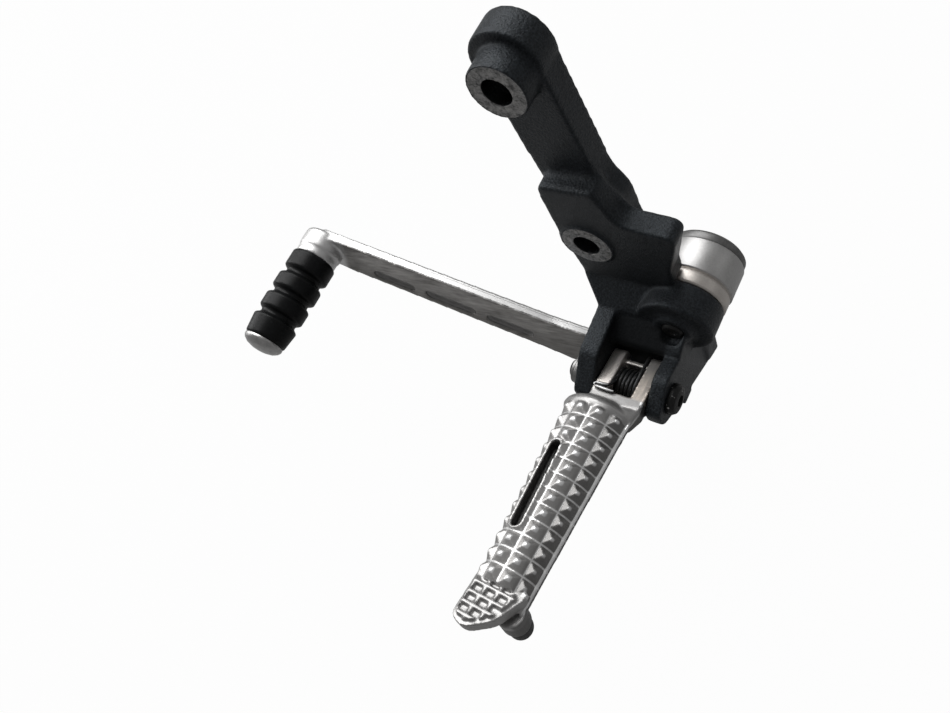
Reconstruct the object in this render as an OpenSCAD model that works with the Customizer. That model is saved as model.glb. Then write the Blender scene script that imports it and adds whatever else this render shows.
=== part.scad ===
// Left-hand motorcycle footrest hanger with a folding footpeg and a gear lever.
// X points to the rear, Y points inboard to the motorcycle, Z points up.
// The origin is the centre of the lower mounting hole on its outboard seat face.

/* [Mounting] */
// Diameter of both mounting holes
mount_hole_d = 9.5; // [8.5:0.1:10.5]
// Diameter of the machined seat rings round the mounting holes
seat_d = 19.5; // [17:0.5:20]
// Distance between the outboard and the inboard seat faces
seat_depth = 19; // [18.5:0.5:22]
// Forward offset of the upper hole from the lower one
upper_hole_x = -7.6; // [-10:0.1:-5]
// Height of the upper hole above the lower one
upper_hole_z = 69.6; // [66:0.1:74]

/* [Hanger casting] */
// Diameter of the head round the upper hole
head_d = 23.6; // [23:0.2:25]
// Width of the arm between the two holes
arm_w = 21.2; // [19:0.2:23]
// Outboard face of the arm, measured inboard from the seat faces
arm_front = 8; // [7:0.5:9]
// Inboard face of the arm, measured the same way
arm_back = 18; // [16:0.5:18]
// Inboard face of the lower plate
plate_back = 10; // [9:0.5:11]

/* [Clevis] */
// Diameter of the clevis pin
pin_d = 8; // [7:0.1:8.2]
// Radius of the round ends of the ears
ear_r = 10; // [9:0.5:10.5]
// Angle of the footpeg above the horizontal
peg_tilt = 10; // [6:1:12]

/* [Footpeg] */
// Width of the tread where it starts
tread_w_root = 24.8; // [24:0.2:26]
// Width of the tread at its outer end
tread_w_tip = 19.4; // [18:0.2:21]
// Rows of pyramids along the tread
tread_rows = 12; // [10:1:14]
// Height of the pyramids
pyramid_h = 2.1; // [1.5:0.1:2.4]
// Wire diameter of the return spring
spring_wire_d = 1.6; // [1.2:0.1:1.7]
// Length of the feeler bolt below its boss
feeler_l = 10; // [8:1:14]

/* [Gear lever] */
// Forward position of the toe peg
toe_x = -125.3; // [-135:0.1:-115]
// Height of the toe peg
toe_z = -14.5; // [-25:0.1:-5]
// Thickness of the lever blade
blade_t = 4.6; // [4:0.1:5.5]
// Diameter of the lever hub
hub_d = 24; // [22.5:0.5:24]
// Diameter of the toe rubber
rubber_d = 20; // [18:0.5:22]
// Length of the toe rubber
rubber_l = 41.4; // [34:0.2:44]

/* [Balance weight] */
// Diameter of the balance weight
weight_d = 29; // [26:0.5:29]
// Length of the balance weight
weight_l = 17.9; // [14:0.1:22]

/* [Hidden] */
$fn = 64;
// Running clearance on radius, and the smallest overlap that joins two solids
run = 0.05;
eps = 0.05;
// Centre of the round head, a little above and ahead of the hole
head_x = upper_hole_x - 0.7;
head_z = upper_hole_z + 1.7;
// Clevis pin axis, which runs along X
pin_y = -27.1;
pin_z = -45.1;
pin_mid_x = 17.6;
washer_t = 2.8;
clip_t = 1.3;
left_ear = [0, 7.7];
right_ear = [28.5, 34.2];
clevis_top_z = -28.3;
clevis_rim_y = -7;
wall_y = -14.1;
// Balance weight axis, which runs along Y
weight_x = 29.3;
weight_z = -30.6;
weight_boss_r = 14;
weight_boss_y = [-6.8, 4.5];
weight_y = weight_boss_y[1];
weight_groove_y = 5;
disc_t = 3.9;
cup_r = 10.4;
cup_depth = 4.6;
cup_floor = 1.2;
// Lever pivot axis, which runs along Y
pivot_x = 12;
pivot_z = -74.4;
lug_y = [-21, -14.2];
lug_r = 12;
hub_y = [-13.9, 7.7];
sleeve_end_y = 8;
sleeve_r = 6;
bush_r = 7.2;
bush_l = 7;
seal_r = 9.4;
seal_t = 1.4;
// Gear lever blade in its own plane, with s along the lever and c across it
lever_dx = pivot_x - toe_x;
lever_dz = toe_z - pivot_z;
lever_l = sqrt(lever_dx * lever_dx + lever_dz * lever_dz);
lever_angle = atan2(lever_dz, lever_dx);
blade_hub_y = -9.5;
blade_toe_y = -20;
blade_sweep = atan2(blade_hub_y - blade_toe_y, lever_l);
blade_lean = -6;
blade_c = 9.5;
// Toe peg along Y
toe_boss_r = 9.7;
rubber_y = -27;
stud_r = 5;
cap_r = 8.6;
cap_t = 4.6;
// Footpeg in its own frame: x along the pin, d outward, h up from the pin axis
leg_left = [-9.6, -4.1];
leg_right = [5.4, 10.5];
tongue_h = 6.4;
tongue_tail = 11.2;
neck_d = 8.4;
web_y = 6.4;
neck_base_h = -1.6;
leg_span = leg_right[1] - leg_left[0];
tread_d0 = 16;
tread_d1 = 88;
tread_mid_root = -4.9;
tread_mid_tip = -3.2;
tread_crest_h = 8.4;
tread_edge_h = 1.2;
peg_base_h = -5;
lip_d = 104.5;
feeler_x = 2.4;
feeler_y = -92.5;
feeler_r = 4.4;

// A polygon's corner [x, y, r] becomes an arc of radius r
function unit(v) = v / norm(v);
function corner_arc(a, b, c) =
    let (
        p = [b.x, b.y],
        u = unit([a.x, a.y] - p),
        v = unit([c.x, c.y] - p),
        half = acos(max(-1, min(1, u * v))) / 2,
        r = b[2],
        reach = r / tan(half),
        centre = p + unit(u + v) * r / sin(half),
        start = p + u * reach - centre,
        finish = p + v * reach - centre,
        a0 = atan2(start.y, start.x),
        swing = atan2(finish.y, finish.x) - a0,
        turn = swing > 180 ? swing - 360 : swing < -180 ? swing + 360 : swing,
        steps = max(2, ceil(abs(turn) / 15))
    )
    [for (i = [0 : steps]) centre + r * [cos(a0 + turn * i / steps), sin(a0 + turn * i / steps)]];
function rounded(corners) =
    let (n = len(corners))
    [for (i = [0 : n - 1])
        let (b = corners[i])
        for (p = b[2] == 0 ? [[b.x, b.y]] : corner_arc(corners[(i + n - 1) % n], b, corners[(i + 1) % n]))
            p];
function mix(a, b, t) = a + (b - a) * t;

// Extrudes a shape drawn in X and Z from y0 to y1
module along_y(y0, y1) {
    translate([0, y1, 0]) rotate([90, 0, 0]) linear_extrude(y1 - y0) children();
}
// Extrudes a shape drawn in Y and Z from x0 to x1
module along_x(x0, x1) {
    translate([x0, 0, 0]) rotate([90, 0, 90]) linear_extrude(x1 - x0) children();
}
module rod_y(x, z, r, y0, y1) {
    translate([x, y1, z]) rotate([90, 0, 0]) cylinder(r = r, h = y1 - y0);
}
module rod_x(y, z, r, x0, x1) {
    translate([x0, y, z]) rotate([0, 90, 0]) cylinder(r = r, h = x1 - x0);
}
// Turns a profile of [radius, y] points about an axis along Y
module turned_y(x, z, profile) {
    translate([x, 0, z]) rotate([-90, 0, 0]) rotate_extrude() polygon(profile);
}

// Hanger casting: head and arm
module head_and_arm() {
    rod_y(upper_hole_x, upper_hole_z, seat_d / 2, 0, arm_front + eps);
    rod_y(head_x, head_z, head_d / 2, arm_front, arm_back);
    rod_y(upper_hole_x, upper_hole_z, seat_d / 2 + 0.2, arm_back - eps, seat_depth);
    low_x = -2.4;
    low_z = 20;
    along_y(arm_front, arm_back) polygon(rounded([
        [upper_hole_x - arm_w / 2, upper_hole_z, 0],
        [upper_hole_x + arm_w / 2, upper_hole_z, 0],
        [low_x + arm_w / 2 - 0.2, low_z + 6, 10],
        [low_x + arm_w / 2 + 7.4, low_z - 5, 7],
        [low_x + arm_w / 2 + 9, low_z - 14, 2],
        [low_x - arm_w / 2 + 3, low_z - 14, 2],
        [low_x - arm_w / 2 - 1, low_z + 8, 6]
    ]));
}
// Hanger casting: the lower plate with its lug towards the weight
module lower_plate() {
    along_y(1, plate_back) polygon(rounded([
        [-11.5, 28.2, 3],
        [9.2, 28.6, 1],
        [14.5, 13.8, 7],
        [33.8, 12, 3.5],
        [28.5, -8, 4],
        [28.5, -34, 3],
        [-2, -49, 3],
        [-6.6, -30, 4],
        [-7, -18, 8],
        [-10.2, 2, 12]
    ]));
    rod_y(0, 0, seat_d / 2, 0, 1 + eps);
    rod_y(0, 0, seat_d / 2 + 1.2, 1, seat_depth);
}
// Concave fillet between the arm's face and the plate's top shelf
module shelf_fillet() {
    fillet_r = 3.5;
    shelf_z = 28.2;
    difference() {
        translate([-8.4, arm_front - fillet_r, shelf_z - 1]) cube([16, fillet_r + 1, fillet_r + 1]);
        rod_x(arm_front - fillet_r, shelf_z + fillet_r, fillet_r, -13, 10);
    }
}
// Ribs on the inboard side, from the lower seat up the arm and down to the clevis
module back_ribs() {
    along_y(plate_back - eps, 17) polygon([[-5.5, 0], [5.5, 0], [1, 30], [-8, 30]]);
    along_y(plate_back - eps, 15) polygon([[-5, 0], [5, 0], [9, -38], [2, -38]]);
}
// Hanger casting: the boss that the weight bolts to
module weight_boss() {
    rod_y(weight_x, weight_z, weight_boss_r, weight_boss_y[0], weight_boss_y[1]);
    rod_y(weight_x, weight_z, 8.3, weight_boss_y[0] - 0.5, 0);
    rod_y(weight_x, weight_z, 7, weight_boss_y[0] - 1.6, 0);
}
// Hanger casting: sloping shoulder from the plate out to the clevis
module clevis_shoulder() {
    difference() {
        along_x(-6.6, right_ear[1]) polygon(rounded([
            [plate_back, -17, 0],
            [1, -19.5, 5],
            [clevis_rim_y, clevis_top_z, 2.5],
            [clevis_rim_y, -49.5, 0],
            [plate_back, -49.5, 4]
        ]));
        translate([-6.8, 1, -60]) rotate([0, 0, 42]) translate([-12, -20, 0]) cube([12, 20, 50]);
    }
}
// Wall behind the footpeg's tongue, with the stop lip above it
module clevis_wall() {
    along_x(left_ear[0], right_ear[1]) polygon(rounded([
        [0, -30, 0],
        [clevis_rim_y, -30, 0],
        [-15.5, -35, 2],
        [-15.5, -38.2, 1],
        [wall_y, -40, 1],
        [wall_y, -49.6, 1],
        [0, -49.6, 0]
    ]));
}
module ear_profile(top, bottom) {
    polygon(rounded(concat(top, [[-37.4, -41.8, 4], [-36.6, -50.6, 7]], bottom)));
}
module clevis_ears() {
    along_x(left_ear[0], left_ear[1]) ear_profile(
        [[0, -25.5, 0], [clevis_rim_y, -28.3, 2], [-25.2, -30.4, 6]],
        [[-25, -56, 5], [-14.2, -49.6, 3], [0, -49.6, 0]]);
    along_x(right_ear[0], right_ear[1]) ear_profile(
        [[plate_back - 3, -40, 0], [-6.5, -41, 2], [-12.5, -36.5, 4], [-26, -33.6, 6]],
        [[-25.5, -57, 5], [-2, -67.6, 6], [plate_back - 3, -71.4, 3]]);
}
// Lug that carries the lever pivot, hidden below the clevis
module pivot_lug() {
    along_y(lug_y[0], lug_y[1]) polygon(rounded([
        [pivot_x - 11.6, pivot_z + 3, 2],
        [pivot_x - 11.6, -56, 4],
        [right_ear[1], -60, 0],
        [right_ear[1], -62, 4],
        [pivot_x + 8.4, pivot_z - 8.6, 1]
    ]));
    rod_y(pivot_x, pivot_z, lug_r, lug_y[0], lug_y[1]);
    along_x(8.2, right_ear[1]) polygon(rounded([
        [clevis_rim_y, -47, 0],
        [wall_y, -47, 0],
        [wall_y, -52.5, 3],
        [lug_y[0], -60, 3],
        [lug_y[0], -64, 0],
        [lug_y[1], -64, 0],
        [lug_y[1], -54, 2],
        [clevis_rim_y, -50, 2]
    ]));
}
module hanger_casting() color("#26282b") difference() {
    union() {
        head_and_arm();
        lower_plate();
        shelf_fillet();
        back_ribs();
        weight_boss();
        clevis_shoulder();
        clevis_wall();
        clevis_ears();
        pivot_lug();
    }
    rod_y(0, 0, mount_hole_d / 2, -1, seat_depth + 1);
    rod_y(upper_hole_x, upper_hole_z, mount_hole_d / 2, -1, seat_depth + 1);
    rod_x(pin_y, pin_z, pin_d / 2 + 0.02, -2, 36);
    rod_y(weight_x, weight_z, 4.02, -12, 12);
    rod_y(weight_x, weight_z, weight_d / 2 + 0.6, weight_y, 30);
    rod_y(pivot_x, pivot_z, 4.02, lug_y[0] - 1, lug_y[1] + 1);
}

// Clevis pin with a domed head at the rear and a chamfered end at the front
module clevis_pin() color("#6d7074") {
    front = washer_t + clip_t + 1.6;
    shank = front + right_ear[1];
    translate([-front, pin_y, pin_z]) rotate([0, 90, 0]) rotate_extrude() difference() {
        polygon([
            [0, 0], [pin_d / 2 - 1, 0], [pin_d / 2, 1], [pin_d / 2, shank], [5.8, shank],
            [5.8, shank + 1.6], [4.9, shank + 3], [2.4, shank + 3.4], [0, shank + 3.4]
        ]);
        translate([pin_d / 2 - 0.7, 1.6]) square([2, clip_t]);
        translate([0, shank + 1.6]) square([2.2, 3]);
    }
}
module pin_washer() color("#85888c") {
    difference() {
        rod_x(pin_y, pin_z, 5.8, -washer_t, 0);
        rod_x(pin_y, pin_z, pin_d / 2 + 0.2, -washer_t - 1, 1);
    }
}
// Open retaining clip in the pin's groove
module pin_clip() color("#9a9da1") {
    difference() {
        rod_x(pin_y, pin_z, 5.3, -washer_t - clip_t, -washer_t);
        rod_x(pin_y, pin_z, pin_d / 2 - 0.7, -washer_t - clip_t - 1, -washer_t + 1);
        translate([-washer_t - clip_t - 1, pin_y - 1.6, pin_z - 8]) cube([clip_t + 2, 3.2, 8]);
    }
}

// Balance weight, turned with a narrow groove near its foot
module balance_weight() color("#b9bab7") difference() {
    weight_r = weight_d / 2;
    end_y = weight_y + weight_l;
    groove = weight_y + weight_groove_y;
    turned_y(weight_x, weight_z, [
        [4.3, weight_y], [weight_r - 1, weight_y], [weight_r - 0.4, weight_y + 0.6],
        [weight_r - 0.4, groove - 0.4], [weight_r - 1.1, groove - 0.1], [weight_r - 1.1, groove + 0.3],
        [weight_r, groove + 0.9], [weight_r, end_y - 0.5], [weight_r - 0.5, end_y],
        [cup_r + 0.1, end_y], [cup_r + 0.1, end_y - cup_depth], [4.3, end_y - cup_depth]
    ]);
}
// Dark end cup that holds the bolt's head below its rim
module weight_end_disc() color("#3c3d3e") {
    y0 = weight_y + weight_l;
    r = weight_d / 2 - 0.5;
    turned_y(weight_x, weight_z, [
        [4.3, y0 - cup_depth], [cup_r, y0 - cup_depth], [cup_r, y0], [r, y0], [r, y0 + disc_t - 1.2],
        [r - 1.2, y0 + disc_t], [cup_r - cup_floor, y0 + disc_t],
        [cup_r - cup_floor, y0 - cup_depth + cup_floor], [4.3, y0 - cup_depth + cup_floor]
    ]);
}
// Flanged hexagon bolt from the inboard side, its tip showing outboard
module weight_bolt() color("#5d6063") {
    flange_y = weight_y + weight_l - cup_depth + cup_floor;
    tip_y = weight_boss_y[0] - 2.2;
    difference() {
        union() {
            turned_y(weight_x, weight_z, [
                [0, tip_y], [3.3, tip_y], [4, tip_y + 0.8], [4, flange_y], [8.5, flange_y],
                [8.5, flange_y + 1], [6, flange_y + 1.8], [0, flange_y + 1.8]
            ]);
            translate([weight_x, flange_y + 6.5, weight_z]) rotate([90, 0, 0])
                cylinder(r = 7.5, h = 5.5, $fn = 6);
        }
        turned_y(weight_x, weight_z, [[0, tip_y - 1], [1.4, tip_y - 1], [1.4, tip_y], [0, tip_y + 0.8]]);
    }
}

// Fixed sleeve that the lever turns on, clamped by the pivot bolt
module pivot_sleeve() color("#a5a7a9") difference() {
    rod_y(pivot_x, pivot_z, sleeve_r, lug_y[1], sleeve_end_y);
    rod_y(pivot_x, pivot_z, 4.1, lug_y[1] - 1, sleeve_end_y + 1);
}
module pivot_washer() color("#9a9da1") difference() {
    rod_y(pivot_x, pivot_z, 10.5, sleeve_end_y, sleeve_end_y + 1.6);
    rod_y(pivot_x, pivot_z, 4.1, sleeve_end_y - 1, sleeve_end_y + 3);
}
module lever_pivot_bolt() color("#5d6063") {
    head_y = sleeve_end_y + 1.6;
    tip_y = lug_y[0] - 0.6;
    difference() {
        turned_y(pivot_x, pivot_z, [
            [0, tip_y], [3.3, tip_y], [4, tip_y + 0.8], [4, head_y], [6.5, head_y],
            [6.5, head_y + 6.4], [5.8, head_y + 7], [0, head_y + 7]
        ]);
        translate([pivot_x, head_y + 8, pivot_z]) rotate([90, 0, 0]) cylinder(r = 3.46, h = 4.6, $fn = 6);
    }
}

// Places children of the footpeg's frame: x along the pin, -y outward, z up
module peg_frame() {
    translate([pin_mid_x, pin_y, pin_z]) rotate([-peg_tilt, 0, 0]) children();
}
// Tread section: half width, middle and circle at the place t from root to tip
function tread_half(t) = mix(tread_w_root, tread_w_tip, t) / 2;
function tread_mid(t) = mix(tread_mid_root, tread_mid_tip, t);
function arc_r(t) =
    let (half = tread_half(t), rise = tread_crest_h - tread_edge_h)
    (half * half + rise * rise) / (2 * rise);
function arc_span(t) = asin(tread_half(t) / arc_r(t));
// Point of the tread's arc, with v from -1 at the front edge to 1 at the rear edge
function tread_point(t, v, lift) =
    let (r = arc_r(t), a = arc_span(t) * v)
    [
        tread_mid(t) + (r + 0.25 * lift) * sin(a),
        -mix(tread_d0, tread_d1, t),
        tread_crest_h - r + r * cos(a) + lift
    ];
tread_cols = 4;
// Where each pyramid's flat top starts and ends, as a share of its cell
top_share = [0.42, 0.58];
// The tread's upper skin: a grid of four points a cell each way, raised at the tops
module tread_body() {
    nu = tread_rows * 3;
    nv = tread_cols * 3;
    share = [0, top_share[0], top_share[1]];
    us = concat([for (i = [0 : tread_rows - 1]) for (s = share) (i + s) / tread_rows], [1]);
    vs = concat([for (j = [0 : tread_cols - 1]) for (s = share) (j + s) / tread_cols], [1]);
    skin = [for (i = [0 : nu]) for (j = [0 : nv])
        tread_point(us[i], 2 * vs[j] - 1, (i % 3 > 0 && j % 3 > 0) ? pyramid_h : 0)];
    side = [for (i = [0 : nu]) for (e = [-1, 1])
        let (p = tread_point(us[i], e, 0))
        [p.x - e * mix(4.2, 3.2, us[i]), p.y, mix(peg_base_h, peg_base_h + 1.4, us[i])]];
    w = nv + 1;
    base = len(skin);
    top_faces = [for (i = [0 : nu - 1]) for (j = [0 : nv - 1])
        let (
            a = i * w + j,
            b = a + 1,
            c = a + w,
            d = c + 1,
            corner = (i % 3 == 1 || j % 3 == 1) ? 0 : ((i % 3) == (j % 3) ? 1 : 2)
        )
        for (f = corner == 2 ? [[a, b, c], [b, d, c]] : [[a, b, d], [a, d, c]])
            f];
    front_faces = [for (i = [0 : nu - 1])
        for (f = [[i * w, (i + 1) * w, base + 2 * i + 2], [i * w, base + 2 * i + 2, base + 2 * i]]) f];
    rear_faces = [for (i = [0 : nu - 1])
        for (f = [
            [(i + 1) * w + nv, i * w + nv, base + 2 * i + 1],
            [(i + 1) * w + nv, base + 2 * i + 1, base + 2 * i + 3]
        ]) f];
    under_faces = [for (i = [0 : nu - 1])
        for (f = [
            [base + 2 * i, base + 2 * i + 2, base + 2 * i + 3],
            [base + 2 * i, base + 2 * i + 3, base + 2 * i + 1]
        ]) f];
    root_cap = [concat([for (j = [0 : nv]) nv - j], [base, base + 1])];
    tip_cap = [concat([for (j = [0 : nv]) nu * w + j], [base + 2 * nu + 1, base + 2 * nu])];
    polyhedron(
        points = concat(skin, side),
        faces = concat(top_faces, front_faces, rear_faces, under_faces, root_cap, tip_cap),
        convexity = 6);
}
// Smooth round collar where the tread starts
module collar() {
    r = arc_r(0) + 0.8;
    centre_h = tread_crest_h - arc_r(0);
    intersection() {
        translate([tread_mid_root, 0, centre_h]) rotate([90, 0, 0]) rotate_extrude() polygon(rounded([
            [0, 12.4, 0], [r - 1.2, 12.4, 2], [r, 17, 1.5], [0, 17.2, 0]
        ]));
        translate([-19, -18, 0]) cube([40, 8, 20]);
    }
    translate([-13.4, -17, -4]) cube([17, 5, 7]);
}
// Thin straight rim along the tread's rear edge
module rear_rim() {
    p0 = tread_point(0, 1, 0);
    p1 = tread_point(1, 1, 0);
    hull() {
        translate([p0.x - 0.6, p0.y - 2, p0.z - 2.4]) cube([1, 2, 3.4]);
        translate([p1.x - 0.6, p1.y - 1, p1.z - 2.4]) cube([1, 1, 3.4]);
    }
}
// Raised outer end with a rib grid, rounded towards the rear
module end_lip() {
    intersection() {
        translate([0, 0, -4.6]) linear_extrude(20) polygon(rounded([
            [6.9, -86, 0], [6.9, -89, 2], [2.6, -99, 9], [-5.4, -lip_d - 0.8, 5], [-10.8, -lip_d + 1.8, 3.5],
            [-12, -86, 0]
        ]));
        translate([-20, -86, 3.6]) rotate([-14, 0, 0]) translate([0, -30, -2.8]) cube([40, 40, 5.2]);
    }
}
module end_ribs() {
    intersection() {
        translate([0, 0, -4.6]) linear_extrude(22) polygon(rounded([
            [5.5, -88.5, 0], [2, -97.6, 7], [-5.4, -lip_d + 1.2, 4], [-9.6, -lip_d + 3, 2.5], [-10.8, -88.5, 0]
        ]));
        translate([-20, -86, 3.6]) rotate([-14, 0, 0]) union() {
            for (k = [0 : 3]) translate([0, -5.6 - k * 3.9, 1]) cube([40, 1.3, 2.9]);
            for (k = [0 : 3]) translate([9.2 + k * 4.6, -20, 1]) cube([1.2, 20, 2.6]);
        }
    }
}
// One leg of the tongue, round at its inboard end
module tongue_side(x0, x1) {
    translate([x0, 0, 0]) rotate([90, 0, 90]) linear_extrude(x1 - x0) polygon(rounded([
        [tongue_tail, tongue_h, 2.5], [tongue_tail, -tongue_h, 5], [-5.5, -tongue_h, 2],
        [-10, neck_base_h, 0], [-10, tongue_h, 0]
    ]));
}
module footpeg_casting() color("#b4b4b0") peg_frame() difference() {
    union() {
        tongue_side(leg_left[0], leg_left[1]);
        tongue_side(leg_right[0], leg_right[1]);
        // Flank that runs from the rear leg's edge down to the tread's rear rim
        hull() {
            translate([leg_right[0], -12.4, neck_base_h])
                cube([leg_right[1] - leg_right[0], 4, tongue_h - neck_base_h]);
            translate([3, -18, -2.2]) cube([5, 2, 3.6]);
        }
        // Neck between the legs, and the low web that ties their inboard ends
        translate([leg_left[0], -13, neck_base_h]) cube([leg_span - 3, 13 - neck_d, tongue_h - neck_base_h]);
        translate([leg_left[0] + 1, web_y, -5]) cube([leg_span - 2, 1.8, 9]);
        collar();
        tread_body();
        rear_rim();
        end_lip();
        end_ribs();
        translate([feeler_x, feeler_y, -8]) cylinder(r = 5.2, h = 9);
    }
    translate([-12, 0, 0]) rotate([0, 90, 0]) cylinder(r = pin_d / 2 + run, h = 24);
    // Space for the spring between the legs
    translate([leg_left[1], -neck_d, -10]) cube([leg_right[0] - leg_left[1], neck_d + web_y, 20]);
    // Long slot in the second column of the tread
    slot_path();
    // Cored underside with a cross rib
    for (d = [[24, 50], [54, 82]])
        translate([-11.5, -d[1], -12]) cube([13, d[1] - d[0], 9.4]);
}
module slot_path() {
    translate([-9.9, -36.5, 1.5]) rotate([0, 0, 3.4]) union() {
        translate([-2.4, -30, 0]) cube([4.8, 30, 14]);
        cylinder(r = 2.4, h = 14);
        translate([0, -30, 0]) cylinder(r = 2.4, h = 14);
    }
}

// Torsion spring round the pin, with one leg on the casting and one over the tongue
spring_turns = 5;
spring_r = 5.5;
spring_steps = 20;
spring_x = [-3.1, 4.4];
function helix_point(a) = [
    mix(spring_x[0], spring_x[1], a / (360 * spring_turns)),
    spring_r * sin(a),
    spring_r * cos(a)
];
spring_path = concat(
    [[-4, -8.9, 7.4], [-8.4, -8.7, 7.4], [-9.2, -8, 7.4], [-8.4, -7.2, 7.4], [-3.6, -7, 7.3], [-3.2, -5, 6.6],
        [-3.1, -2, 5.7]],
    [for (i = [0 : spring_turns * spring_steps]) helix_point(i * 360 / spring_steps)],
    [[4.4, 3, 6], [4.4, 8.5, 5.9], [4.4, 10.6, 5.9]]);
function path_dir(path, i) =
    unit(path[min(len(path) - 1, i + 1)] - path[max(0, i - 1)]);
// A round tube through the path's points, its sections kept square to the path
module swept_wire(path, r, sides) {
    n = len(path);
    rings = [for (i = [0 : n - 1])
        let (
            t = path_dir(path, i),
            up = abs(t.x) > 0.9 ? [0, 0, 1] : [1, 0, 0],
            u = unit(cross(t, up)),
            v = cross(t, u)
        )
        for (k = [0 : sides - 1]) path[i] + r * (cos(360 * k / sides) * u + sin(360 * k / sides) * v)];
    walls = [for (i = [0 : n - 2]) for (k = [0 : sides - 1])
        let (a = i * sides + k, b = i * sides + (k + 1) % sides)
        [a, b, b + sides, a + sides]];
    caps = [[for (k = [0 : sides - 1]) sides - 1 - k], [for (k = [0 : sides - 1]) (n - 1) * sides + k]];
    polyhedron(points = rings, faces = concat(walls, caps), convexity = 8);
}
module return_spring() color("#1d1e20") peg_frame()
    swept_wire(spring_path, spring_wire_d / 2, 8);

// Wear feeler under the footpeg's outer end
module feeler_bolt() color("#34363a") peg_frame() translate([feeler_x, feeler_y, -8]) {
    translate([0, 0, feeler_r - feeler_l]) cylinder(r = feeler_r, h = feeler_l - feeler_r);
    translate([0, 0, feeler_r - feeler_l]) scale([1, 1, 0.6]) sphere(r = feeler_r);
}

// Places children of the blade's plane: -x towards the toe, z across, y through
module blade_frame() {
    translate([pivot_x, blade_hub_y, pivot_z]) rotate([0, lever_angle, 0])
        rotate([blade_lean, 0, blade_sweep]) children();
}
module blade_outline() {
    polygon(rounded([
        [6, 11, 0],
        [-12, 13, 12],
        [-44, 10.2, 60],
        [-lever_l, 9.2, 0],
        [-lever_l, -9, 0],
        [-lever_l + 12, -10.6, 20],
        [-44, -12.2, 60],
        [-14, -14.2, 14],
        [6, -11, 0]
    ]));
}
// Shallow pockets in the blade's outboard face, as [start, length]
pockets = [[50, 22], [77, 24], [106, 20]];
module blade_pocket(start, length) {
    r = 3;
    for (s = [start + r, start + length - r]) rod_y(-s, -5.6, r, -2, 1.6);
    translate([-start - length + r, -2, -5.6 - r]) cube([length - 2 * r, 3.6, 2 * r]);
}
module gear_lever() color("#b0b0ae") difference() {
    union() {
        rod_y(pivot_x, pivot_z, hub_d / 2, hub_y[0], hub_y[1]);
        blade_frame() difference() {
            along_y(0, blade_t) blade_outline();
            for (p = pockets) blade_pocket(p[0], p[1]);
        }
        turned_y(toe_x, toe_z, [
            [0, blade_toe_y + 4.8], [toe_boss_r - 1.2, blade_toe_y + 4.8], [toe_boss_r, blade_toe_y + 3.6],
            [toe_boss_r, blade_toe_y - 3], [toe_boss_r - 0.5, blade_toe_y - 3.4],
            [toe_boss_r - 0.5, rubber_y], [0, rubber_y]
        ]);
        // Link arm down to the shift rod
        along_y(-5, 3) polygon([
            [pivot_x - 9, pivot_z - 6], [pivot_x + 9, pivot_z - 6],
            [pivot_x + 6.4, pivot_z - 30], [pivot_x - 6.4, pivot_z - 30]
        ]);
        rod_y(pivot_x, pivot_z - 30, 6.5, -5, 3);
    }
    rod_y(pivot_x, pivot_z, bush_r, hub_y[0] - 1, hub_y[1] + 1);
    rod_y(pivot_x, pivot_z, seal_r, hub_y[0] - 1, hub_y[0] + seal_t);
    rod_y(pivot_x, pivot_z, seal_r, hub_y[1] - seal_t, hub_y[1] + 1);
    rod_y(pivot_x, pivot_z - 30, 3, -6, 4);
    rod_y(toe_x, toe_z, stud_r, rubber_y - 1, rubber_y + 8);
}
module bush(y0, y1) {
    difference() {
        rod_y(pivot_x, pivot_z, bush_r, y0, y1);
        rod_y(pivot_x, pivot_z, sleeve_r + run, y0 - 1, y1 + 1);
    }
}
module pivot_bush_outboard() color("#8c7f5a") bush(hub_y[0] + seal_t, hub_y[0] + seal_t + bush_l);
module pivot_bush_inboard() color("#8c7f5a") bush(hub_y[1] - seal_t - bush_l, hub_y[1] - seal_t);
module seal(y0) {
    difference() {
        rod_y(pivot_x, pivot_z, seal_r, y0, y0 + seal_t);
        rod_y(pivot_x, pivot_z, sleeve_r + 0.3, y0 - 1, y0 + seal_t + 1);
    }
}
module dust_seal_outboard() color("#1a1a1b") seal(hub_y[0]);
module dust_seal_inboard() color("#1a1a1b") seal(hub_y[1] - seal_t);

// Stud in the lever's end that carries the rubber
module toe_stud() color("#9fa1a3")
    rod_y(toe_x, toe_z, stud_r, rubber_y - rubber_l, rubber_y + 8);
// Ribbed rubber with three grooves and a tapered outer segment
module toe_rubber() color("#1c1d1f") {
    r = rubber_d / 2;
    groove_r = r - 2;
    half_w = 1.6;
    soft = 0.7;
    // Grooves as shares of the rubber's length, then the radius of each rib's two ends
    grooves = [0.24, 0.486, 0.735];
    rib = function (a, b, ra, rb) [[ra - soft, a], [ra, a - soft], [rb, b + soft], [rb - soft, b]];
    cut = function (e) [
        [groove_r + 0.4, rubber_y - e * rubber_l + half_w - 0.5],
        [groove_r, rubber_y - e * rubber_l + 0.5],
        [groove_r, rubber_y - e * rubber_l - 0.5],
        [groove_r + 0.4, rubber_y - e * rubber_l - half_w + 0.5]
    ];
    at = function (i, side) rubber_y - grooves[i] * rubber_l + side * half_w;
    turned_y(toe_x, toe_z, concat(
        [[stud_r, rubber_y]],
        rib(rubber_y, at(0, 1), r, r),
        cut(grooves[0]),
        rib(at(0, -1), at(1, 1), r, r),
        cut(grooves[1]),
        rib(at(1, -1), at(2, 1), r, r - 0.1),
        cut(grooves[2]),
        rib(at(2, -1), rubber_y - rubber_l, r - 0.1, cap_r + 0.4),
        [[stud_r, rubber_y - rubber_l]]
    ));
}
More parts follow.
